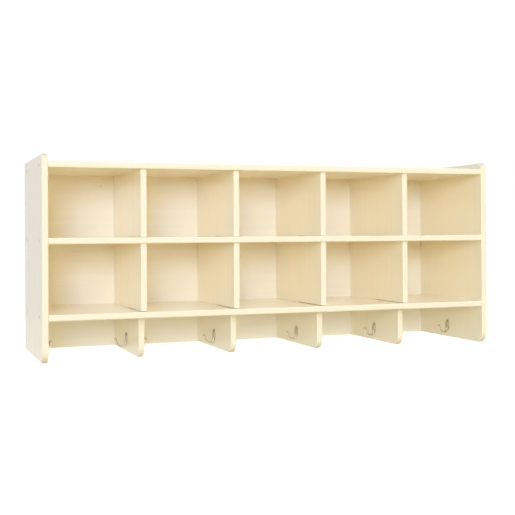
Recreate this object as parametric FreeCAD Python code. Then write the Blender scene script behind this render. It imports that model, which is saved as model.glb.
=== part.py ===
import FreeCAD, Part
import math
import os

# Wall-hung birch plywood unit: two rows of open cubbies over a row of open hook bays.
# Millimetres. X runs along the wall, +Y points into the wall and +Z up. The origin lies under
# the middle of the unit, level with the lower edges of its boards.

# Boards and the spaces between them
bay_count = 5
bay_width = 226.0             # clear width of a bay
cubby_height = 168.5          # clear height of each of the two cubby rows
hook_bay_height = 101.5       # from the lower edges to the bottom shelf
side_rise = 17.5              # side panels stand this far above the top panel
unit_depth = 350.0
board = 15.0                  # plywood of the sides, shelves and dividers
back_board = 6.0              # plywood of the back panel
divider_setback = 10.0        # divider fronts behind the shelf fronts, beside the cubbies
hook_bay_setback = 40.0       # divider fronts behind the shelf fronts, below the bottom shelf
side_corner = 16.0            # radius of the upper front corner of a side panel
side_low_corner = 30.0        # radius of its lower front corner
divider_corner = 26.0         # radius of the lower front corner of a divider
round_over = 3.0              # radius along the exposed edges

# Fits between the boards
rabbet_reach = 7.5            # how far the back panel reaches into each side panel
rabbet_clearance = 0.2        # around the back panel in its rabbets
slot_clearance = 0.15         # on each side of a board in a cross-halved slot
lap_clearance = 0.25          # at the closed end of each slot
foot_gap = 1.5                # over a shelf, in the slot of a divider

# Shelf screws, driven through the sides, and the caps that cover them
shelf_screw_front_inset = 55.0
shelf_screw_rear_inset = 50.0
shelf_screw_head_radius = 4.6
shelf_screw_head_height = 3.0
shelf_screw_collar_radius = 3.5
shelf_screw_thread_radius = 2.6
shelf_screw_bite = 38.0       # length in the shelf
cap_radius = 4.9
cap_thickness = 1.8
cap_gap = 0.2                 # between a cap and the screw head under it

# Dowels between the divider tops and the top panel
dowel_radius = 4.0
dowel_bite = 20.0             # length in the divider
dowel_cover = 5.0             # wood left over the dowel in the top panel
dowel_inset = 60.0            # from the front and rear edges of the divider
dowel_chamfer = 0.8
dowel_end_gap = 0.5

# Back panel screws and wall screw holes
back_screw_head_radius = 3.6
back_screw_radius = 1.75
back_screw_bite = 24.0        # length in the board behind the back panel
wall_hole_radius = 2.75
wall_hole_inset = 37.4        # outside the outermost dividers, which sets the pair two wall studs apart
wall_hole_drop = 27.0         # below the top panel

# Coat hooks
hook_inset = 185.0            # from the unit's front to the middle of a hook
hook_stagger = 30.0           # further forward on a divider's right face, so that no two screws meet in it
hook_foot = 11.0              # lowest point of a hook above the lower edges
hook_plate_lift = 7.5         # lower end of the plate above the hook's lowest point
hook_plate_width = 18.0
hook_plate_height = 31.5
hook_plate_end = 6.0          # radius of the oval's two ends
hook_plate_thickness = 3.0
hook_plate_rim = 1.0          # rounding of the plate's rim
hook_rod_radius = 2.5
hook_rod_gap = 0.3            # between the rod and the wall
hook_inner_bend = 9.0         # bend at the foot of the plate
hook_outer_bend = 15.5        # bend that rises to the tip
hook_flare_bend = 5.0
hook_flare_angle = 60.0       # outward lean of the tip, degrees
hook_ball_radius = 3.2
hook_screw_pitch = 10.0
hook_screw_raise = 2.0        # pair of screws above the middle of the plate
hook_screw_head_radius = 2.9
hook_screw_head_height = 1.6
hook_screw_radius = 1.5
hook_screw_cover = 5.0        # wood left beyond the hole of a hook screw

# All screws
screw_clearance = 0.1         # around a screw, cap or dowel in its hole
screw_point = 3.0
pilot_run_out = 1.0           # hole beyond the point of a screw
recess_width = 0.9            # cross recess in the visible heads
recess_length = 3.4
recess_depth = 1.1

# Places worked out from the sizes
unit_width = bay_count * bay_width + (bay_count + 1) * board
bay_pitch = bay_width + board
front = -unit_depth / 2
rear = unit_depth / 2
carcass_rear = rear - back_board
side_inner = unit_width / 2 - board
bottom_shelf_z = hook_bay_height
middle_shelf_z = bottom_shelf_z + board + cubby_height
top_panel_z = middle_shelf_z + board + cubby_height
unit_height = top_panel_z + board + side_rise
divider_front = front + divider_setback
divider_low_front = front + hook_bay_setback
lap_y = (front + carcass_rear) / 2
edge_radius = min(round_over, 0.45 * board)
divider_x = [(i - bay_count / 2) * bay_pitch for i in range(1, bay_count)]
bay_x = [(i + 0.5 - bay_count / 2) * bay_pitch for i in range(bay_count)]
shelf_z = [bottom_shelf_z, middle_shelf_z, top_panel_z]
shelf_screw_y = [front + shelf_screw_front_inset, rear - shelf_screw_rear_inset]
dowel_y = [divider_front + dowel_inset, carcass_rear - dowel_inset]
counterbore_depth = cap_thickness + cap_gap + shelf_screw_head_height
hook_rod_offset = hook_rod_radius + hook_rod_gap
hook_screw_bite = board - hook_screw_cover - pilot_run_out
hook_turn_z = hook_foot + hook_rod_radius + hook_inner_bend
hook_plate_z = hook_foot + hook_plate_lift + hook_plate_height / 2
hook_screw_z = [hook_plate_z + hook_screw_raise + s * hook_screw_pitch / 2 for s in (-1, 1)]
hook_y = front + hook_inset
hook_forward_y = hook_y - hook_stagger
hook_left_wall_y = [hook_y] + [hook_forward_y] * (bay_count - 1)
row_middle_z = [bottom_shelf_z / 2, middle_shelf_z - cubby_height / 2, top_panel_z - cubby_height / 2]
back_screws_at_shelves = [(x, z + board / 2) for z in shelf_z for x in bay_x]
back_screws_at_dividers = [(x, z) for x in divider_x for z in row_middle_z]
wall_hole_x = divider_x[-1] + board / 2 + wall_hole_inset
wall_hole_z = top_panel_z - wall_hole_drop

# Directions in plan, as turns about Z from +X
FACING_RIGHT = 0
FACING_BACK = 90
FACING_LEFT = 180


def vec(x, y, z):
    return FreeCAD.Vector(x, y, z)


def box(x_low, x_high, y_low, y_high, z_low, z_high):
    return Part.makeBox(x_high - x_low, y_high - y_low, z_high - z_low, vec(x_low, y_low, z_low))


def hole(radius, depth, mouth, into):
    """Cylinder to drill away, from the mouth of the hole along its direction."""
    return Part.makeCylinder(radius, depth, mouth, into)


def placed(shape, facing, point):
    """Copy of a piece made along +X, turned about Z and moved to its place."""
    copy = shape.copy()
    copy.Placement = FreeCAD.Placement(point, FreeCAD.Rotation(vec(0, 0, 1), facing))
    return copy


def cut_away(shape, tools):
    return shape.cut(Part.makeCompound(tools)).Solids[0]


def arc_between(centre, radius, start, end):
    """Arc in the XZ plane about (x, z), from one angle to another in degrees."""
    angles = [math.radians(a) for a in (start, (start + end) / 2, end)]
    points = [vec(centre[0] + radius * math.cos(a), 0, centre[1] + radius * math.sin(a)) for a in angles]
    return Part.Arc(*points).toShape()


def turned(edges):
    """Solid turned about the X axis from edges in the XZ plane that close on the axis."""
    face = Part.Face(Part.Wire(Part.__sortEdges__(edges)))
    return face.revolve(vec(0, 0, 0), vec(1, 0, 0), 360)


def straight_edges(points):
    """Lines through (x, radius) points, for a turned piece."""
    corners = [vec(x, 0, r) for x, r in points]
    return [Part.makeLine(a, b) for a, b in zip(corners, corners[1:])]


def board_outline(corners):
    """Face in the YZ plane with right-angled corners (y, z, radius); a radius of 0 leaves one square."""
    edges = []
    last = None
    first = None
    count = len(corners)
    for i, (y, z, radius) in enumerate(corners):
        here = vec(0, y, z)
        to_previous = (vec(0, *corners[i - 1][:2]) - here).normalize()
        to_next = (vec(0, *corners[(i + 1) % count][:2]) - here).normalize()
        start = here + to_previous * radius
        end = here + to_next * radius
        if last is not None:
            edges.append(Part.makeLine(last, start))
        if radius > 0:
            middle = here + (to_previous + to_next) * radius * (1 - math.sqrt(0.5))
            edges.append(Part.Arc(start, middle, end).toShape())
        if first is None:
            first = start
        last = end
    edges.append(Part.makeLine(last, first))
    return Part.Face(Part.Wire(edges))


def round_edges(shape, exposed):
    """Rounds over the edges on the two broad X faces that the test picks."""
    flat = 0.01
    edges = [e for e in shape.Edges if e.BoundBox.XLength < flat and exposed(e.BoundBox)]
    return shape.makeFillet(edge_radius, edges)


def hook_screw_holes(wall_x, facing, y):
    """Pilot holes for one hook's screws, into a wall at wall_x."""
    into = vec(-math.cos(math.radians(facing)), 0, 0)
    radius = hook_screw_radius + screw_clearance
    depth = hook_screw_bite + pilot_run_out
    return [hole(radius, depth, vec(wall_x, y, z), into) for z in hook_screw_z]


def side_panel(side):
    """Side panel with rounded front corners, a rabbet for the back panel and counterbored screw holes."""
    outer = side * unit_width / 2
    inner = side * side_inner
    x_low = min(outer, inner)
    corners = [
        (front, 0, side_low_corner),
        (rear, 0, 0),
        (rear, unit_height, 0),
        (front, unit_height, side_corner),
    ]
    blank = board_outline(corners).extrude(vec(board, 0, 0))
    blank.translate(vec(x_low, 0, 0))
    panel = round_edges(blank, lambda b: b.YMin < rear - side_corner / 2)
    rabbet_x = inner + side * rabbet_reach
    rabbet_top = top_panel_z + board + rabbet_clearance
    rabbet = box(min(inner, rabbet_x), max(inner, rabbet_x), carcass_rear, rear, 0, rabbet_top)
    into = vec(-side, 0, 0)
    tools = [rabbet]
    for z in shelf_z:
        for y in shelf_screw_y:
            mouth = vec(outer, y, z + board / 2)
            tools.append(hole(cap_radius + screw_clearance, counterbore_depth, mouth, into))
            tools.append(hole(shelf_screw_collar_radius + screw_clearance, board, mouth, into))
    tools += hook_screw_holes(inner, FACING_RIGHT if side < 0 else FACING_LEFT, hook_y)
    return cut_away(panel, tools)


def shelf_board(z):
    """Board between the sides with a rounded front edge and holes for its end and rear screws."""
    blank = box(-side_inner, side_inner, front, carcass_rear, z, z + board)
    edges = [e for e in blank.Edges if e.BoundBox.YMax < front + board / 2 and e.BoundBox.XLength > board]
    shelf = blank.makeFillet(edge_radius, edges)
    tools = []
    for side in (-1, 1):
        for y in shelf_screw_y:
            mouth = vec(side * side_inner, y, z + board / 2)
            radius = shelf_screw_thread_radius + screw_clearance
            tools.append(hole(radius, shelf_screw_bite + pilot_run_out, mouth, vec(-side, 0, 0)))
    for x in bay_x:
        mouth = vec(x, carcass_rear, z + board / 2)
        radius = back_screw_radius + screw_clearance
        tools.append(hole(radius, back_screw_bite + pilot_run_out, mouth, vec(0, -1, 0)))
    return cut_away(shelf, tools)


def slotted_shelf(z):
    """Shelf with slots open to the rear, one for each divider."""
    half_slot = board / 2 + slot_clearance
    slots = [box(x - half_slot, x + half_slot, lap_y - lap_clearance, rear, z, z + board) for x in divider_x]
    return cut_away(shelf_board(z), slots)


def top_panel():
    """Top panel with blind holes for the divider dowels in its underside."""
    radius = dowel_radius + screw_clearance
    depth = board - dowel_cover
    holes = [hole(radius, depth, vec(x, y, top_panel_z), vec(0, 0, 1)) for x in divider_x for y in dowel_y]
    return cut_away(shelf_board(top_panel_z), holes)


def divider(x):
    """Full-height divider with slots open to the front, its lower part set further back."""
    step_z = bottom_shelf_z + board / 2
    corners = [
        (divider_low_front, 0, divider_corner),
        (carcass_rear, 0, 0),
        (carcass_rear, top_panel_z, 0),
        (divider_front, top_panel_z, 0),
        (divider_front, step_z, 0),
        (divider_low_front, step_z, 0),
    ]
    blank = board_outline(corners).extrude(vec(board, 0, 0))
    blank.translate(vec(x - board / 2, 0, 0))

    def exposed(b):
        in_front = b.YMin < carcass_rear - divider_corner / 2
        upright = b.ZLength > b.YLength
        lower = b.ZMax < step_z - board / 4
        return in_front and (upright or lower)

    panel = round_edges(blank, exposed)
    tools = []
    for z in shelf_z[:2]:
        tools.append(box(x - board, x + board, front, lap_y + lap_clearance, z, z + board + foot_gap))
    for y in dowel_y:
        mouth = vec(x, y, top_panel_z)
        tools.append(hole(dowel_radius + screw_clearance, dowel_bite + dowel_end_gap, mouth, vec(0, 0, -1)))
    for z in row_middle_z:
        mouth = vec(x, carcass_rear, z)
        radius = back_screw_radius + screw_clearance
        tools.append(hole(radius, back_screw_bite + pilot_run_out, mouth, vec(0, -1, 0)))
    tools += hook_screw_holes(x - board / 2, FACING_LEFT, hook_y)
    tools += hook_screw_holes(x + board / 2, FACING_RIGHT, hook_forward_y)
    return cut_away(panel, tools)


def countersink(extra):
    """Cone of a countersunk head with its flat at x = 0, widened all round by extra."""
    depth = back_screw_head_radius - back_screw_radius
    points = [(-depth, 0), (-depth, back_screw_radius + extra), (0, back_screw_head_radius + extra), (0, 0)]
    return turned(straight_edges(points + points[:1]))


def back_panel():
    """Back panel with countersunk screw holes and the two wall screw holes."""
    half_width = side_inner + rabbet_reach - rabbet_clearance
    panel = box(-half_width, half_width, carcass_rear, rear, 0, top_panel_z + board)
    sink = countersink(screw_clearance)
    tools = []
    for x, z in back_screws_at_shelves + back_screws_at_dividers:
        mouth = vec(x, rear, z)
        tools.append(placed(sink, FACING_BACK, mouth))
        tools.append(hole(back_screw_radius + screw_clearance, back_board, mouth, vec(0, -1, 0)))
    for side in (-1, 1):
        mouth = vec(side * wall_hole_x, rear, wall_hole_z)
        tools.append(hole(wall_hole_radius, back_board, mouth, vec(0, -1, 0)))
    return cut_away(panel, tools)


def cross_recess(head_top):
    """Cross-shaped recess in a screw head whose top is at head_top on X."""
    half = recess_length / 2
    arm = recess_width / 2
    low = head_top - recess_depth
    across = box(low, head_top, -half, half, -arm, arm)
    upright = box(low, head_top, -arm, arm, -half, half)
    return across.fuse(upright)


def shelf_screw():
    """Screw with a plain collar through the side, its head seated at x = 0 and its point at -X."""
    collar = board - counterbore_depth
    point = -collar - shelf_screw_bite
    points = [
        (point, 0),
        (point + screw_point, shelf_screw_thread_radius),
        (-collar, shelf_screw_thread_radius),
        (-collar, shelf_screw_collar_radius),
        (0, shelf_screw_collar_radius),
        (0, shelf_screw_head_radius),
        (shelf_screw_head_height, shelf_screw_head_radius),
        (shelf_screw_head_height, 0),
    ]
    return turned(straight_edges(points + points[:1]))


def back_screw():
    """Countersunk screw with its head flush at x = 0 and its point at -X."""
    point = -back_board - back_screw_bite
    neck = back_screw_radius - back_screw_head_radius
    points = [
        (point, 0),
        (point + screw_point, back_screw_radius),
        (neck, back_screw_radius),
        (0, back_screw_head_radius),
        (0, 0),
    ]
    return turned(straight_edges(points + points[:1])).cut(cross_recess(0))


def hook_screw():
    """Domed screw with its head seated at x = 0 and its point at -X."""
    point = -hook_plate_thickness - hook_screw_bite
    dome = (hook_screw_head_radius ** 2 + hook_screw_head_height ** 2) / (2 * hook_screw_head_height)
    rim = math.degrees(math.asin(hook_screw_head_radius / dome))
    points = [
        (hook_screw_head_height, 0),
        (point, 0),
        (point + screw_point, hook_screw_radius),
        (0, hook_screw_radius),
        (0, hook_screw_head_radius),
    ]
    crown = arc_between((hook_screw_head_height - dome, 0), dome, rim, 0)
    return turned(straight_edges(points) + [crown]).cut(cross_recess(hook_screw_head_height))


def dowel():
    """Dowel along +Z from its lower end, chamfered at both ends."""
    length = dowel_bite + board - dowel_cover - dowel_end_gap
    rod = Part.makeCylinder(dowel_radius, length)
    rims = [e for e in rod.Edges if e.BoundBox.ZLength < dowel_chamfer]
    return rod.makeChamfer(dowel_chamfer, rims)


def hook_plate():
    """Oval plate on a wall at x = 0: two small end arcs joined by two long flank arcs, with a rounded rim."""
    half_height = hook_plate_height / 2
    half_width = hook_plate_width / 2
    reach = half_height - hook_plate_end
    flank = (reach ** 2 + half_width ** 2 - hook_plate_end ** 2) / (2 * (half_width - hook_plate_end))
    join_y = hook_plate_end * (flank - half_width) / (flank - hook_plate_end)
    join_z = reach * flank / (flank - hook_plate_end)
    ring = [
        (-join_y, join_z),
        (0, half_height),
        (join_y, join_z),
        (half_width, 0),
        (join_y, -join_z),
        (0, -half_height),
        (-join_y, -join_z),
        (-half_width, 0),
        (-join_y, join_z),
    ]
    points = [vec(0, y, hook_plate_z + z) for y, z in ring]
    arcs = [Part.Arc(*points[i:i + 3]).toShape() for i in (0, 2, 4, 6)]
    plate = Part.Face(Part.Wire(arcs)).extrude(vec(hook_plate_thickness, 0, 0))
    rim = [e for e in plate.Edges if e.BoundBox.XMin > hook_plate_thickness / 2]
    return plate.makeFillet(hook_plate_rim, rim).Solids[0]


def coat_hook():
    """Hook on a wall at x = 0, facing +X: an oval plate, and a rod bent in a J with a ball at its tip."""
    rod_top = hook_screw_z[0] - hook_screw_head_radius - hook_rod_radius - screw_clearance
    low_x = hook_rod_offset + hook_inner_bend
    low_z = hook_turn_z - hook_inner_bend
    rise_x = low_x + hook_outer_bend
    rise_z = low_z + hook_outer_bend
    path = [
        Part.makeLine(vec(hook_rod_offset, 0, rod_top), vec(hook_rod_offset, 0, hook_turn_z)),
        arc_between((low_x, hook_turn_z), hook_inner_bend, 180, 270),
        arc_between((low_x, rise_z), hook_outer_bend, 270, 360),
        arc_between((rise_x + hook_flare_bend, rise_z), hook_flare_bend, 180, 180 - hook_flare_angle),
    ]
    start = Part.Circle(vec(hook_rod_offset, 0, rod_top), vec(0, 0, 1), hook_rod_radius).toShape()
    rod = Part.Wire(path).makePipeShell([Part.Wire(start)], True, False)
    lean = math.radians(hook_flare_angle)
    tip_x = rise_x + hook_flare_bend * (1 - math.cos(lean))
    tip_z = rise_z + hook_flare_bend * math.sin(lean)
    shoulder = Part.makeSphere(hook_rod_radius, vec(hook_rod_offset, 0, rod_top))
    ball = Part.makeSphere(hook_ball_radius, vec(tip_x, 0, tip_z))
    blank = hook_plate().fuse([rod, shoulder, ball])
    radius = hook_screw_radius + screw_clearance
    holes = [hole(radius, hook_plate_thickness, vec(0, 0, z), vec(1, 0, 0)) for z in hook_screw_z]
    return cut_away(blank, holes)


def save(name, solids):
    shape = solids[0] if len(solids) == 1 else Part.makeCompound(solids)
    shape.exportStep("parts/" + name + ".step")


os.makedirs("parts", exist_ok=True)

# Carcass boards
save("side_panel_left", [side_panel(-1)])
save("side_panel_right", [side_panel(1)])
save("top_panel", [top_panel()])
save("middle_shelf", [slotted_shelf(middle_shelf_z)])
save("bottom_shelf", [slotted_shelf(bottom_shelf_z)])
for number, x in enumerate(divider_x, start=1):
    save("divider_" + str(number), [divider(x)])
save("back_panel", [back_panel()])

# Coat hooks, one on each wall of each bay, and their screws
hook = coat_hook()
screw = hook_screw()
hook_screws = []
for number, x in enumerate(bay_x, start=1):
    left_wall = vec(x - bay_width / 2, hook_left_wall_y[number - 1], 0)
    right_wall = vec(x + bay_width / 2, hook_y, 0)
    save("coat_hook_" + str(number) + "_left", [placed(hook, FACING_RIGHT, left_wall)])
    save("coat_hook_" + str(number) + "_right", [placed(hook, FACING_LEFT, right_wall)])
    for z in hook_screw_z:
        seat = vec(hook_plate_thickness, 0, z)
        hook_screws.append(placed(screw, FACING_RIGHT, left_wall + seat))
        seat = vec(-hook_plate_thickness, 0, z)
        hook_screws.append(placed(screw, FACING_LEFT, right_wall + seat))
save("hook_screws", hook_screws)

# Shelf screws and their caps, in both sides
screw = shelf_screw()
cap = Part.makeCylinder(cap_radius, cap_thickness, vec(-cap_thickness, 0, 0), vec(1, 0, 0))
shelf_screws = []
screw_caps = []
for side, facing in ((-1, FACING_LEFT), (1, FACING_RIGHT)):
    outer = side * unit_width / 2
    seat = outer - side * counterbore_depth
    for z in shelf_z:
        for y in shelf_screw_y:
            shelf_screws.append(placed(screw, facing, vec(seat, y, z + board / 2)))
            screw_caps.append(placed(cap, facing, vec(outer, y, z + board / 2)))
save("shelf_screws", shelf_screws)
save("screw_caps", screw_caps)

# Dowels between the dividers and the top panel
peg = dowel()
dowel_z = top_panel_z - dowel_bite
save("divider_dowels", [placed(peg, FACING_RIGHT, vec(x, y, dowel_z)) for x in divider_x for y in dowel_y])

# Screws through the back panel
screw = back_screw()
places = back_screws_at_shelves + back_screws_at_dividers
save("back_panel_screws", [placed(screw, FACING_BACK, vec(x, rear, z)) for x, z in places])
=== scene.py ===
import math
import bpy
import numpy as np
from mathutils import Matrix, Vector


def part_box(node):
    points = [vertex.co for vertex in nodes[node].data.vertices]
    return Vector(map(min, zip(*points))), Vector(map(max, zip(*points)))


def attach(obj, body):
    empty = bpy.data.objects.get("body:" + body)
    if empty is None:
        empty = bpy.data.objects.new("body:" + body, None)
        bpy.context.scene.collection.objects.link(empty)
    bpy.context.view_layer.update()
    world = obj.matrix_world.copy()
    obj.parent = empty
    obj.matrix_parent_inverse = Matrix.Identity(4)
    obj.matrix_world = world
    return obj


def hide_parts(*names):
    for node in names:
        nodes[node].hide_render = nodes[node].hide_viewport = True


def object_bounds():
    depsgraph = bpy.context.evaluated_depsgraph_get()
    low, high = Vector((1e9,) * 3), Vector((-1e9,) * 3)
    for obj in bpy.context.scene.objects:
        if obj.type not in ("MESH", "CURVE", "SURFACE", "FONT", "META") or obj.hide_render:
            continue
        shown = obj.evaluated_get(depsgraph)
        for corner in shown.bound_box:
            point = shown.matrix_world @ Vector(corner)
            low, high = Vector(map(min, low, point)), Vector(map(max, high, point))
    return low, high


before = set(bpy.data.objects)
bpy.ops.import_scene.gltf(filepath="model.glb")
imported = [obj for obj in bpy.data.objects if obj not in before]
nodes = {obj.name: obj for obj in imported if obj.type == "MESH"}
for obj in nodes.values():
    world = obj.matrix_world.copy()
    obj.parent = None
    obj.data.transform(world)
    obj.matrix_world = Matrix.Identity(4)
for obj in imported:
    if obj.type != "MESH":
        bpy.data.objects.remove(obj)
cad_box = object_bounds()


# Side panels
# The two uprights that close the unit, of 15 mm birch plywood with the face grain upright. They are sawn
# with rounded front corners, rounded over along the edges, sanded and clear lacquered to a satin finish.

VENEER = (246, 239, 220)
GROWTH_LINE = (239, 227, 198)
PORE = (222, 200, 158)
CORE_PLY = (225, 216, 194)
CROSS_PLY = (213, 202, 178)
GLUE_LINE = (178, 152, 112)
BOARD_PLIES = 11
# How far the plies waver, as a share of a ply, and the scale of that noise.
PLY_WAVER = 0.12
WAVER_SCALE = 45.0
# Steps in the noises' fourth coordinate from ply to ply and from board to board.
PLY_STEP = 5.3
BOARD_STEP = 1.7
# Stretches of the noises along, across and through the grain, per metre.
FIELD_STRETCH = (0.6, 4.0, 4.0)
BAND_STRETCH = (0.8, 42.0, 42.0)
STREAK_STRETCH = (3.0, 180.0, 180.0)
FIBRE_STRETCH = (14.0, 700.0, 700.0)
PORE_STRETCH = (130.0, 2400.0, 2400.0)
# Phase of the growth rings in radians, for a metre across the grain, for the field and for the streaks,
# and the power that narrows their lines.
RING_TURN = 170.0
RING_DRIFT = 22.0
RING_WOBBLE = 1.6
RING_SHARPNESS = 4.0
# How much each mark counts in the colour.
RING_SHARE = 0.06
STREAK_SHARE = 0.3
PORE_SHARE = 0.3
GLUE_SHARE = 0.35
FIBRE_SHARE = 0.07
# Roughness of the inner plies and of the lacquered faces, and how much the fibres add to it.
SAWN_ROUGHNESS = 0.55
LACQUERED_ROUGHNESS = 0.13
FIBRE_ROUGHNESS = 0.14


def display(red, green, blue):
    """Linear colour of the 0 to 255 values that a screen shows."""
    shown = np.array([red, green, blue]) / 255
    linear = np.where(shown <= 0.04045, shown / 12.92, ((shown + 0.055) / 1.055) ** 2.4)
    return (*linear.tolist(), 1.0)


def new_material(name):
    """New node material and its empty node tree."""
    material = bpy.data.materials.new(name)
    material.use_nodes = True
    material.node_tree.nodes.clear()
    return material, material.node_tree


def shader_node(tree, kind, inputs, **settings):
    """Adds a shader node and returns its outputs. Inputs map a socket to a value or to another node's
    output."""
    made = tree.nodes.new("ShaderNode" + kind)
    for setting, value in settings.items():
        setattr(made, setting, value)
    for socket, value in inputs.items():
        if isinstance(value, bpy.types.NodeSocket):
            tree.links.new(value, made.inputs[socket])
        else:
            made.inputs[socket].default_value = value
    return made.outputs


def arithmetic(tree, operation, *values, clamp=False):
    """One step of arithmetic on numbers and outputs."""
    return shader_node(tree, "Math", dict(enumerate(values)), operation=operation, use_clamp=clamp)[0]


def ramp(tree, value, start, end):
    """Smooth step of a value from 0 at start to 1 at end."""
    inputs = {"Value": value, "From Min": start, "From Max": end}
    return shader_node(tree, "MapRange", inputs, interpolation_type="SMOOTHSTEP")[0]


def tinted(tree, share, first, second):
    """Colour that goes from the first to the second as the share goes from 0 to 1."""
    return shader_node(tree, "Mix", {0: share, 6: first, 7: second}, data_type="RGBA")[2]


def ply_noise(tree, place, stretch, ply, detail):
    """Noise over the places along, across and through the grain in metres, times their stretches, with its
    own pattern in each ply."""
    stretched = [arithmetic(tree, "MULTIPLY", p, s) for p, s in zip(place, stretch)]
    spot = shader_node(tree, "CombineXYZ", dict(enumerate(stretched)))[0]
    inputs = {"Vector": spot, "W": ply, "Scale": 1.0, "Detail": detail}
    return shader_node(tree, "TexNoise", inputs, noise_dimensions="4D")[0]


def birch_plywood(board, across, along, plies, seed):
    """Solid plywood: the place across the board picks the ply, every second ply has its grain turned, and
    each ply has its own figure of growth rings, streaks, fibres and pores. Faces then show veneer, and
    edges show the layers."""
    low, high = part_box(board)
    axis = "XYZ".index(across)
    thickness = high[axis] - low[axis]
    material, tree = new_material("birch_" + board)
    spot = shader_node(tree, "TexCoord", {})["Object"]
    xyz = shader_node(tree, "SeparateXYZ", {0: spot})
    other = next(a for a in "XYZ" if a not in (across, along))

    waver = shader_node(tree, "TexNoise", {"Vector": spot, "Scale": WAVER_SCALE, "Detail": 1.0})[0]
    depth = arithmetic(tree, "SUBTRACT", xyz[across], low[axis])
    depth = arithmetic(tree, "MULTIPLY_ADD", depth, plies / thickness, -PLY_WAVER / 2)
    depth = arithmetic(tree, "MULTIPLY_ADD", waver, PLY_WAVER, depth)
    ply = arithmetic(tree, "FLOOR", arithmetic(tree, "MINIMUM", depth, plies - 0.5))
    ply = arithmetic(tree, "MAXIMUM", ply, 0.0)
    turned = arithmetic(tree, "MODULO", ply, 2.0)
    straight = arithmetic(tree, "SUBTRACT", 1.0, turned)
    off_middle = arithmetic(tree, "ABSOLUTE", arithmetic(tree, "SUBTRACT", depth, plies / 2))
    face = arithmetic(tree, "GREATER_THAN", off_middle, plies / 2 - 1)
    inside = arithmetic(tree, "LESS_THAN", off_middle, plies / 2 - 0.5)
    run = arithmetic(tree, "MULTIPLY", xyz[along], straight)
    run = arithmetic(tree, "MULTIPLY_ADD", xyz[other], turned, run)
    side = arithmetic(tree, "MULTIPLY", xyz[other], straight)
    side = arithmetic(tree, "MULTIPLY_ADD", xyz[along], turned, side)
    place = (run, side, xyz[across])
    sheet = arithmetic(tree, "MULTIPLY_ADD", ply, PLY_STEP, seed * BOARD_STEP)

    field = ply_noise(tree, place, FIELD_STRETCH, sheet, detail=1.0)
    band = ply_noise(tree, place, BAND_STRETCH, sheet, detail=2.0)
    streak = ply_noise(tree, place, STREAK_STRETCH, sheet, detail=2.0)
    fibre = ply_noise(tree, place, FIBRE_STRETCH, sheet, detail=3.0)
    pores = ply_noise(tree, place, PORE_STRETCH, sheet, detail=1.0)

    rings = arithmetic(tree, "MULTIPLY", field, RING_DRIFT)
    rings = arithmetic(tree, "MULTIPLY_ADD", side, RING_TURN, rings)
    rings = arithmetic(tree, "MULTIPLY_ADD", streak, RING_WOBBLE, rings)
    rings = arithmetic(tree, "MULTIPLY_ADD", arithmetic(tree, "SINE", rings), 0.5, 0.5)
    rings = arithmetic(tree, "POWER", rings, RING_SHARPNESS)
    streaks = arithmetic(tree, "MULTIPLY_ADD", band, 0.5, arithmetic(tree, "MULTIPLY", streak, 0.5))
    streaks = arithmetic(tree, "MULTIPLY", ramp(tree, streaks, start=0.3, end=0.8), STREAK_SHARE)
    figure = arithmetic(tree, "MULTIPLY_ADD", rings, RING_SHARE, streaks)
    pitted = ramp(tree, pores, start=0.66, end=0.74)
    off_centre = arithmetic(tree, "SUBTRACT", arithmetic(tree, "FRACT", depth), 0.5)
    off_centre = arithmetic(tree, "ABSOLUTE", off_centre)
    glue = arithmetic(tree, "MULTIPLY", ramp(tree, off_centre, start=0.44, end=0.5), inside)

    core = tinted(tree, turned, display(*CORE_PLY), display(*CROSS_PLY))
    veneer = tinted(tree, figure, display(*VENEER), display(*GROWTH_LINE))
    colour = tinted(tree, face, core, veneer)
    colour = tinted(tree, arithmetic(tree, "MULTIPLY", pitted, PORE_SHARE), colour, display(*PORE))
    colour = tinted(tree, arithmetic(tree, "MULTIPLY", glue, GLUE_SHARE), colour, display(*GLUE_LINE))
    light = arithmetic(tree, "MULTIPLY_ADD", fibre, FIBRE_SHARE, 1 - FIBRE_SHARE / 2)
    colour = shader_node(tree, "VectorMath", {0: colour, "Scale": light}, operation="SCALE")[0]

    rough = arithmetic(tree, "MULTIPLY_ADD", fibre, FIBRE_ROUGHNESS, SAWN_ROUGHNESS)
    rough = arithmetic(tree, "MULTIPLY_ADD", face, LACQUERED_ROUGHNESS - SAWN_ROUGHNESS, rough)
    height = arithmetic(tree, "SUBTRACT", fibre, pitted)
    bump = shader_node(tree, "Bump", {"Height": height, "Strength": 0.3, "Distance": 0.0001})[0]
    inputs = {"Base Color": colour, "Roughness": rough, "Normal": bump, "IOR": 1.5}
    wood = shader_node(tree, "BsdfPrincipled", inputs)[0]
    shader_node(tree, "OutputMaterial", {"Surface": wood})
    nodes[board].material_slots[0].material = material


birch_plywood("side_panel_left", across="X", along="Z", plies=BOARD_PLIES, seed=1)
birch_plywood("side_panel_right", across="X", along="Z", plies=BOARD_PLIES, seed=2)


# Shelves
# Two boards that run unbroken from side to side, of the same plywood with the grain along them. They are
# slotted from the rear half way in for the dividers, rounded over along the front and screwed to the sides.

birch_plywood("bottom_shelf", across="Z", along="X", plies=BOARD_PLIES, seed=3)
birch_plywood("middle_shelf", across="Z", along="X", plies=BOARD_PLIES, seed=4)


# Dividers
# Four uprights of the same plywood with upright grain, slotted from the front half way in so that they
# slide over the shelves. Below the bottom shelf their fronts step back, with a rounded lower corner.

DIVIDERS = ["divider_1", "divider_2", "divider_3", "divider_4"]
for seed, board in enumerate(DIVIDERS, start=5):
    birch_plywood(board, across="X", along="Z", plies=BOARD_PLIES, seed=seed)


# Divider dowels
# Plain turned hardwood pins, two in the top of each divider, that fix it to the top panel. They are hidden
# once the unit is glued up.

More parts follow.
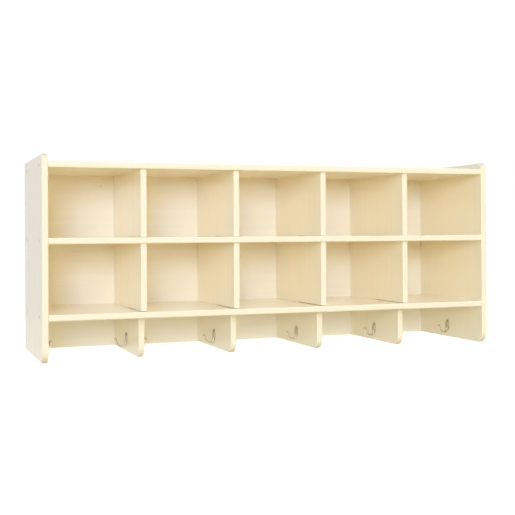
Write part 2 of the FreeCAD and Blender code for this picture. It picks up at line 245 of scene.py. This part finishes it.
DOWEL_WOOD = (214, 180, 134)
DOWEL_GRAIN = (186, 146, 98)
DOWEL_ROUGHNESS = 0.45
GRAIN_ROUGHNESS = 0.2
GRAIN_LENGTHENED = (1.0, 1.0, 0.06)
dowel_beech, tree = new_material("dowel_beech")
spot = shader_node(tree, "TexCoord", {})["Object"]
spot = shader_node(tree, "Mapping", {"Vector": spot, "Scale": GRAIN_LENGTHENED})[0]
grain = shader_node(tree, "TexNoise", {"Vector": spot, "Scale": 900.0, "Detail": 2.0})[0]
dark = ramp(tree, grain, start=0.4, end=0.75)
colour = tinted(tree, dark, display(*DOWEL_WOOD), display(*DOWEL_GRAIN))
rough = arithmetic(tree, "MULTIPLY_ADD", grain, GRAIN_ROUGHNESS, DOWEL_ROUGHNESS)
bump = shader_node(tree, "Bump", {"Height": grain, "Strength": 0.3, "Distance": 0.0001})[0]
wood = shader_node(tree, "BsdfPrincipled", {"Base Color": colour, "Roughness": rough, "Normal": bump})[0]
shader_node(tree, "OutputMaterial", {"Surface": wood})
nodes["divider_dowels"].material_slots[0].material = dowel_beech


# Top panel
# A plain board between the sides, held to the divider tops by dowels and to the sides by screws. Its front
# edge is rounded over like those of the shelves.

birch_plywood("top_panel", across="Z", along="X", plies=BOARD_PLIES, seed=9)


# Shelf screws
# Steel screws with a flat head, zinc plated, driven through the sides into the ends of the top panel and
# shelves. Their heads sit under the caps.

ZINC = (196, 198, 200)
ZINC_SHADE = (160, 160, 156)
ZINC_ROUGHNESS = 0.34
TUMBLED_ROUGHNESS = 0.12


def plated_metal(name, bright, shade, roughness):
    """Plated steel: a tumbled grain of about half a millimetre in the roughness and bump, and a slow change
    from the bright to the shade colour over the plating."""
    material, tree = new_material(name)
    spot = shader_node(tree, "TexCoord", {})["Object"]
    tumbled = shader_node(tree, "TexNoise", {"Vector": spot, "Scale": 1900.0, "Detail": 2.0})[0]
    clouded = shader_node(tree, "TexNoise", {"Vector": spot, "Scale": 160.0, "Detail": 2.0})[0]
    colour = tinted(tree, ramp(tree, clouded, start=0.35, end=0.75), display(*bright), display(*shade))
    rough = arithmetic(tree, "MULTIPLY_ADD", tumbled, TUMBLED_ROUGHNESS, roughness - TUMBLED_ROUGHNESS / 2)
    bump = shader_node(tree, "Bump", {"Height": tumbled, "Strength": 0.25, "Distance": 0.00004})[0]
    inputs = {"Base Color": colour, "Metallic": 1.0, "Roughness": rough, "Normal": bump}
    metal = shader_node(tree, "BsdfPrincipled", inputs)[0]
    shader_node(tree, "OutputMaterial", {"Surface": metal})
    return material


zinc_plate = plated_metal("zinc_plate", ZINC, ZINC_SHADE, ZINC_ROUGHNESS)
nodes["shelf_screws"].material_slots[0].material = zinc_plate


# Screw caps
# Small moulded plastic discs, darker than the wood, pressed into the counterbores over the shelf screws.
# Each has a low crown and a rounded rim, and lies flush with the side panel.

CAP_RADIUS = 0.0049
CAP_THICKNESS = 0.0018
CAP_CROWN = 0.0003
CAP_RIM = 0.0004
CAP_BACK_EDGE = 0.0001
CAP_FRONT_INSET = 0.055
CAP_REAR_INSET = 0.05
CAPPED_BOARDS = ["bottom_shelf", "middle_shelf", "top_panel"]
CAP_SEGMENTS = 48
CAP_COLOUR = (172, 160, 136)
CAP_MOTTLE = (162, 149, 124)
CAP_ROUGHNESS = 0.6
MOULD_ROUGHNESS = 0.14


def closed_piece(name, rows, mirrored):
    """Object over rows of points that run round a piece. The first and last rows are single points, which
    close it. A mirrored piece has its faces turned over, so that they still point outwards."""
    middle = rows[1:-1]
    points = np.concatenate([rows[0, :1], middle.reshape(-1, 3), rows[-1, :1]])
    here = 1 + np.arange(middle.shape[0] * middle.shape[1]).reshape(middle.shape[:2])
    beside = np.roll(here, -1, axis=1)
    quads = np.stack([here[:-1], beside[:-1], beside[1:], here[1:]], axis=-1).reshape(-1, 4)
    first = np.stack([np.zeros_like(here[0]), beside[0], here[0]], axis=-1)
    last = np.stack([here[-1], beside[-1], np.full_like(here[0], len(points) - 1)], axis=-1)
    order = -1 if mirrored else 1
    faces = quads[:, ::order].tolist() + np.concatenate([first, last])[:, ::order].tolist()
    mesh = bpy.data.meshes.new(name)
    mesh.from_pydata(points.tolist(), [], faces)
    mesh.polygons.foreach_set("use_smooth", np.ones(len(faces), dtype=bool))
    piece = bpy.data.objects.new(name, mesh)
    bpy.context.scene.collection.objects.link(piece)
    return piece


def cap_rows(face, inward, y, z):
    """Turned disc: from the middle of its crown the depth grows with the square of the radius, a quarter
    circle rounds the rim, and the side and back are straight, with a small bevel between them."""
    crown = np.linspace(0, CAP_RADIUS - CAP_RIM, 8)
    round_off = np.linspace(0, np.pi / 2, 7)
    rim_radius = CAP_RADIUS - CAP_RIM * (1 - np.sin(round_off))
    rim_depth = CAP_CROWN + CAP_RIM * (1 - np.cos(round_off))
    back_radius = [CAP_RADIUS, CAP_RADIUS - CAP_BACK_EDGE, 0]
    back_depth = [CAP_THICKNESS - CAP_BACK_EDGE, CAP_THICKNESS, CAP_THICKNESS]
    radius = np.concatenate([crown, rim_radius, back_radius])
    depth = np.concatenate([CAP_CROWN * (crown / CAP_RADIUS) ** 2, rim_depth, back_depth])
    angle = np.linspace(0, 2 * np.pi, CAP_SEGMENTS, endpoint=False)
    x = np.broadcast_to((face + inward * depth)[:, None], (len(depth), len(angle)))
    return np.stack([x, y + np.outer(radius, np.cos(angle)), z + np.outer(radius, np.sin(angle))], axis=-1)


cap_plastic, tree = new_material("cap_plastic")
spot = shader_node(tree, "TexCoord", {})["Object"]
mould = shader_node(tree, "TexNoise", {"Vector": spot, "Scale": 2600.0, "Detail": 2.0})[0]
mottle = shader_node(tree, "TexNoise", {"Vector": spot, "Scale": 300.0, "Detail": 2.0})[0]
colour = tinted(tree, mottle, display(*CAP_COLOUR), display(*CAP_MOTTLE))
rough = arithmetic(tree, "MULTIPLY_ADD", mould, MOULD_ROUGHNESS, CAP_ROUGHNESS)
bump = shader_node(tree, "Bump", {"Height": mould, "Strength": 0.2, "Distance": 0.00005})[0]
inputs = {"Base Color": colour, "Roughness": rough, "Normal": bump, "Specular IOR Level": 0.2}
plastic = shader_node(tree, "BsdfPrincipled", inputs)[0]
shader_node(tree, "OutputMaterial", {"Surface": plastic})

cap_places = [cad_box[0][1] + CAP_FRONT_INSET, cad_box[1][1] - CAP_REAR_INSET]
cap_heights = [(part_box(board)[0][2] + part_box(board)[1][2]) / 2 for board in CAPPED_BOARDS]
for side, face, inward in (("left", cad_box[0][0], 1), ("right", cad_box[1][0], -1)):
    spots = [(y, z) for z in cap_heights for y in cap_places]
    for number, (y, z) in enumerate(spots, start=1):
        cap = closed_piece(f"screw_cap_{side}_{number}", cap_rows(face, inward, y, z), inward < 0)
        cap.data.materials.append(cap_plastic)
        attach(cap, "root")
        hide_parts("screw_caps")


# Back panel
# A sheet of 6 mm birch plywood let into rabbets in the sides and screwed to the rear edges of the boards.
# Two holes near the top take the wall screws.

BACK_PLIES = 5
birch_plywood("back_panel", across="Y", along="X", plies=BACK_PLIES, seed=10)


# Back panel screws
# Small countersunk screws of zinc plated steel, driven flush through the back panel into the rear edges of
# the boards.

nodes["back_panel_screws"].material_slots[0].material = zinc_plate


# Coat hooks
# Ten hooks of steel, one on each wall of each bay. Each is an oval plate stamped from strip with a rounded
# rim, and a rod welded to its foot, bent into a J and upset to a ball at the tip, all satin nickel plated.

NICKEL = (196, 187, 167)
NICKEL_SHADE = (176, 166, 146)
NICKEL_ROUGHNESS = 0.3
BAY_COUNT = 5
PLATE_LIFT = 0.0075
PLATE_HALF_HEIGHT = 0.01575
PLATE_HALF_WIDTH = 0.009
PLATE_END = 0.006
PLATE_THICKNESS = 0.003
PLATE_RIM = 0.001
PLATE_BACK_EDGE = 0.0001
PLATE_SEGMENTS = 120
ROD_RADIUS = 0.0025
ROD_GAP = 0.0003
ROD_TOP = 0.01475
ROD_SEGMENTS = 32
INNER_BEND = 0.009
OUTER_BEND = 0.0155
FLARE_BEND = 0.005
FLARE_ANGLE = math.radians(60)
BALL_RADIUS = 0.0032


def plate_rows():
    """Rows of a hook plate, measured out from its wall, along it and up from the hook's lowest point. A
    point of the outline is found from the way it faces: it lies on a small arc about each end, or on a
    large flank arc that touches both. Rows go out over the back, up the side, round the rim by a quarter
    circle and in over the front."""
    reach = PLATE_HALF_HEIGHT - PLATE_END
    flank = (reach ** 2 + PLATE_HALF_WIDTH ** 2 - PLATE_END ** 2) / (2 * (PLATE_HALF_WIDTH - PLATE_END))
    facing = np.linspace(0, 2 * np.pi, PLATE_SEGMENTS, endpoint=False)
    level, upright = np.cos(facing), np.sin(facing)
    at_end = np.abs(upright) > reach / (flank - PLATE_END)
    radius = np.where(at_end, PLATE_END, flank)
    centre_along = np.where(at_end, 0, -np.sign(level) * (flank - PLATE_HALF_WIDTH))
    centre_up = np.where(at_end, np.sign(upright) * reach, 0)
    round_off = np.linspace(0, np.pi / 2, 9)
    rim_inset = PLATE_RIM * (1 - np.cos(round_off))
    rim_out = PLATE_THICKNESS - PLATE_RIM * (1 - np.sin(round_off))
    edge = PLATE_BACK_EDGE
    share = np.concatenate([[0, 1], np.ones(1 + len(round_off)), [0.66, 0.33, 0]])[:, None]
    inset = np.concatenate([[edge, edge, 0], rim_inset, np.full(3, PLATE_RIM)])[:, None]
    out = np.concatenate([[0, 0, edge], rim_out, np.full(3, PLATE_THICKNESS)])[:, None]
    along = share * (centre_along + (radius - inset) * level)
    up = PLATE_LIFT + PLATE_HALF_HEIGHT + share * (centre_up + (radius - inset) * upright)
    return np.stack([np.broadcast_to(out, along.shape), along, up], axis=-1)


def eased(value, start, end):
    """Smooth step of an array from 0 at start to 1 at end."""
    share = np.clip((value - start) / (end - start), 0, 1)
    return share * share * (3 - 2 * share)


def rod_rows():
    """Rows of a hook rod, measured like those of the plate. A circle goes down the plate, round the two
    bends of the J and out along the flare, where it swells into a half ball. Another half ball closes its
    top."""
    wall = ROD_RADIUS + ROD_GAP
    rise = wall + INNER_BEND + OUTER_BEND
    top = np.linspace(0, np.pi / 2, 10)
    inner = np.linspace(0, np.pi / 2, 24)
    outer = np.linspace(0, np.pi / 2, 36)[1:]
    flare = np.linspace(0, FLARE_ANGLE, 18)[1:]
    dome = np.linspace(0, np.pi / 2, 12)[1:]
    flare_out = rise + FLARE_BEND * (1 - np.cos(flare))
    flare_up = ROD_RADIUS + OUTER_BEND + FLARE_BEND * np.sin(flare)
    out = [np.full_like(top, wall),
           wall + INNER_BEND * (1 - np.cos(inner)),
           rise - OUTER_BEND * (1 - np.sin(outer)),
           flare_out,
           flare_out[-1] + BALL_RADIUS * np.sin(dome) * math.sin(FLARE_ANGLE)]
    up = [ROD_TOP + ROD_RADIUS * np.cos(top),
          ROD_RADIUS + INNER_BEND * (1 - np.sin(inner)),
          ROD_RADIUS + OUTER_BEND * (1 - np.cos(outer)),
          flare_up,
          flare_up[-1] + BALL_RADIUS * np.sin(dome) * math.cos(FLARE_ANGLE)]
    lean = [0 * top, inner, np.pi / 2 + outer, np.pi - flare, np.full_like(dome, np.pi - FLARE_ANGLE)]
    swell = ROD_RADIUS + (BALL_RADIUS - ROD_RADIUS) * eased(flare, 0.2 * FLARE_ANGLE, FLARE_ANGLE)
    straight = np.full(len(inner) + len(outer), ROD_RADIUS)
    radius = [ROD_RADIUS * np.sin(top), straight, swell, BALL_RADIUS * np.cos(dome)]
    out, up, lean, radius = [np.concatenate(parts)[:, None] for parts in (out, up, lean, radius)]
    angle = np.linspace(0, 2 * np.pi, ROD_SEGMENTS, endpoint=False)
    off = radius * np.sin(angle)
    return np.stack([out + off * np.cos(lean), radius * np.cos(angle), up + off * np.sin(lean)], axis=-1)


satin_nickel = plated_metal("satin_nickel", NICKEL, NICKEL_SHADE, NICKEL_ROUGHNESS)
for bay in range(1, BAY_COUNT + 1):
    for side, facing in (("left", 1), ("right", -1)):
        node = f"coat_hook_{bay}_{side}"
        low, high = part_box(node)
        seat = [low[0] if facing > 0 else high[0], (low[1] + high[1]) / 2, low[2]]
        for kind, rows in (("plate", plate_rows()), ("rod", rod_rows())):
            hook = closed_piece(f"hook_{kind}_{bay}_{side}", rows * [facing, 1, 1] + seat, facing < 0)
            hook.data.materials.append(satin_nickel)
            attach(hook, "root")
            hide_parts(node)


# Hook screws
# Two screws with low domed heads and a cross recess hold each plate. They are nickel plated steel like the
# hooks.

nodes["hook_screws"].material_slots[0].material = satin_nickel


# Wall behind the screw holes
# The wall that the unit hangs on shows through the two wall screw holes. Two small discs of its white paint
# stand there, just behind the back panel.

WALL_HOLE_INSET = 0.0374
WALL_HOLE_DROP = 0.027
WALL_SPOT_RADIUS = 0.0042
WALL_SPOT_SEGMENTS = 40
WALL_GAP = 0.0002
WALL_COLOUR = (251, 246, 235)
wall_paint, tree = new_material("wall_paint")
spot = shader_node(tree, "TexCoord", {})["Object"]
stipple = shader_node(tree, "TexNoise", {"Vector": spot, "Scale": 1500.0, "Detail": 2.0})[0]
bump = shader_node(tree, "Bump", {"Height": stipple, "Strength": 0.3, "Distance": 0.0002})[0]
paint = shader_node(tree, "BsdfDiffuse", {"Color": display(*WALL_COLOUR), "Normal": bump})[0]
shader_node(tree, "OutputMaterial", {"Surface": paint})

hole_places = [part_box(DIVIDERS[0])[0][0] - WALL_HOLE_INSET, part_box(DIVIDERS[-1])[1][0] + WALL_HOLE_INSET]
hole_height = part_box("top_panel")[0][2] - WALL_HOLE_DROP
angle = np.linspace(0, 2 * np.pi, WALL_SPOT_SEGMENTS, endpoint=False)
wall_y = np.full_like(angle, cad_box[1][1] + WALL_GAP)
for number, x in enumerate(hole_places, start=1):
    ring_x = x + WALL_SPOT_RADIUS * np.cos(angle)
    ring_z = hole_height + WALL_SPOT_RADIUS * np.sin(angle)
    ring = np.stack([ring_x, wall_y, ring_z], axis=-1)
    disc_mesh = bpy.data.meshes.new(f"wall_spot_{number}")
    disc_mesh.from_pydata(ring.tolist(), [], [tuple(range(len(angle)))])
    disc_mesh.materials.append(wall_paint)
    disc = bpy.data.objects.new(f"wall_spot_{number}", disc_mesh)
    bpy.context.scene.collection.objects.link(disc)


# Floor and room
# A white floor far below, since the unit hangs at coat height, in a white room with an even, pale light.
# Both look white to the camera and in reflections, and the floor still takes the unit's shadow.

FLOOR_DROP = 1.1
FLOOR_REACH = 14.0
FLOOR_COLOUR = (216, 203, 168)
FLOOR_GLOW = 0.86
ROOM_LIGHT = (1.05, 0.98, 0.97, 1.0)
ROOM_LEVEL = 0.375


def in_view(tree):
    """Share that is 1 for what the camera sees straight or by reflection, and 0 for light that falls on
    things."""
    path = shader_node(tree, "LightPath", {})
    seen = arithmetic(tree, "ADD", path["Is Camera Ray"], path["Is Glossy Ray"])
    return arithmetic(tree, "ADD", seen, path["Is Transmission Ray"], clamp=True)


floor_mesh = bpy.data.meshes.new("floor")
corner = np.array([[-1, -1, 0], [1, -1, 0], [1, 1, 0], [-1, 1, 0]]) * FLOOR_REACH
floor_mesh.from_pydata((corner - [0, 0, FLOOR_DROP]).tolist(), [], [(0, 1, 2, 3)])
floor = bpy.data.objects.new("floor", floor_mesh)
bpy.context.scene.collection.objects.link(floor)
floor_material, tree = new_material("studio_floor")
lit = shader_node(tree, "BsdfDiffuse", {"Color": display(*FLOOR_COLOUR)})[0]
glow = arithmetic(tree, "MULTIPLY", in_view(tree), FLOOR_GLOW)
glow = shader_node(tree, "Emission", {"Strength": glow})[0]
both = shader_node(tree, "AddShader", {0: lit, 1: glow})[0]
shader_node(tree, "OutputMaterial", {"Surface": both})
floor_mesh.materials.append(floor_material)

world = bpy.data.worlds.new("studio")
bpy.context.scene.world = world
world.use_nodes = True
tree = world.node_tree
tree.nodes.clear()
room = shader_node(tree, "Background", {"Color": ROOM_LIGHT, "Strength": ROOM_LEVEL})[0]
white = shader_node(tree, "Background", {"Color": (1.0, 1.0, 1.0, 1.0), "Strength": 1.0})[0]
both = shader_node(tree, "MixShader", {0: in_view(tree), 1: room, 2: white})[0]
shader_node(tree, "OutputWorld", {"Surface": both})


# Lamps
# Four large soft lamps in front and one behind. The key lamp and the high one are cool, and the two at the
# sides are warm, so that shaded wood looks warmer than lit wood while a front edge looks about neutral.

WHITE = (1.0, 1.0, 1.0)
LAMP_DISTANCE = 12.0
REAR_DISTANCE = 4.5
LIGHT_BOUNCES = 24
DIFFUSE_BOUNCES = 20


def soft_lamp(name, azimuth, elevation, size, level, colour, distance=LAMP_DISTANCE):
    """Square area lamp that faces the unit's middle. Azimuth 0 is straight in front, and level is the
    brightness that it gives a white surface which faces it."""
    aim = (cad_box[0] + cad_box[1]) / 2
    turn = Matrix.Rotation(math.radians(azimuth), 4, "Z")
    turn = turn @ Matrix.Rotation(math.radians(90 - elevation), 4, "X")
    data = bpy.data.lights.new(name, "AREA")
    data.size = size
    data.energy = level * math.pi ** 2 * distance ** 2
    data.color = colour
    lamp = bpy.data.objects.new(name, data)
    lamp.matrix_world = Matrix.Translation(aim) @ turn @ Matrix.Translation((0, 0, distance))
    bpy.context.scene.collection.objects.link(lamp)


soft_lamp("key_lamp", azimuth=-17, elevation=9, size=2.7, level=0.315, colour=(0.77, 0.98, 1.42))
soft_lamp("left_lamp", azimuth=-32, elevation=10, size=4.8, level=0.235, colour=(1.1, 1.08, 0.76))
soft_lamp("right_lamp", azimuth=31, elevation=8, size=6.4, level=0.275, colour=(1.25, 1.09, 0.61))
soft_lamp("high_lamp", azimuth=-8, elevation=38, size=6.4, level=0.285, colour=(0.8, 1.0, 1.27))
soft_lamp("rear_lamp", azimuth=150, elevation=30, size=2.4, level=0.3, colour=WHITE, distance=REAR_DISTANCE)
bpy.context.scene.cycles.max_bounces = LIGHT_BOUNCES
bpy.context.scene.cycles.diffuse_bounces = DIFFUSE_BOUNCES


# Camera
# In front of the unit and to its left, about level with the middle shelf and turned towards its middle. The
# values in pixels are for a square picture of the photograph's size.

IMAGE_PIXELS = 515
FOCAL_PIXELS = 975.0
MIDDLE_COLUMN = 258.45
HORIZON_ROW = 226.03
SENSOR = 36.0
CAMERA_PLACE = (-0.9124, -2.5172, 0.3078)
CAMERA_YAW = math.radians(-19.876)
CAMERA_PITCH = math.radians(0.435)
CAMERA_ROLL = math.radians(-0.338)
camera_data = bpy.data.cameras.new("camera")
camera_data.sensor_width = SENSOR
camera_data.lens = FOCAL_PIXELS * SENSOR / IMAGE_PIXELS
camera_data.shift_x = (IMAGE_PIXELS / 2 - MIDDLE_COLUMN) / IMAGE_PIXELS
camera_data.shift_y = (HORIZON_ROW - IMAGE_PIXELS / 2) / IMAGE_PIXELS
camera = bpy.data.objects.new("camera", camera_data)
turn = Matrix.Rotation(CAMERA_YAW, 4, "Z") @ Matrix.Rotation(math.pi / 2 + CAMERA_PITCH, 4, "X")
turn = turn @ Matrix.Rotation(CAMERA_ROLL, 4, "Z")
camera.matrix_world = Matrix.Translation(CAMERA_PLACE) @ turn
bpy.context.scene.collection.objects.link(camera)
bpy.context.scene.camera = camera
bpy.context.scene.view_settings.view_transform = "Standard"
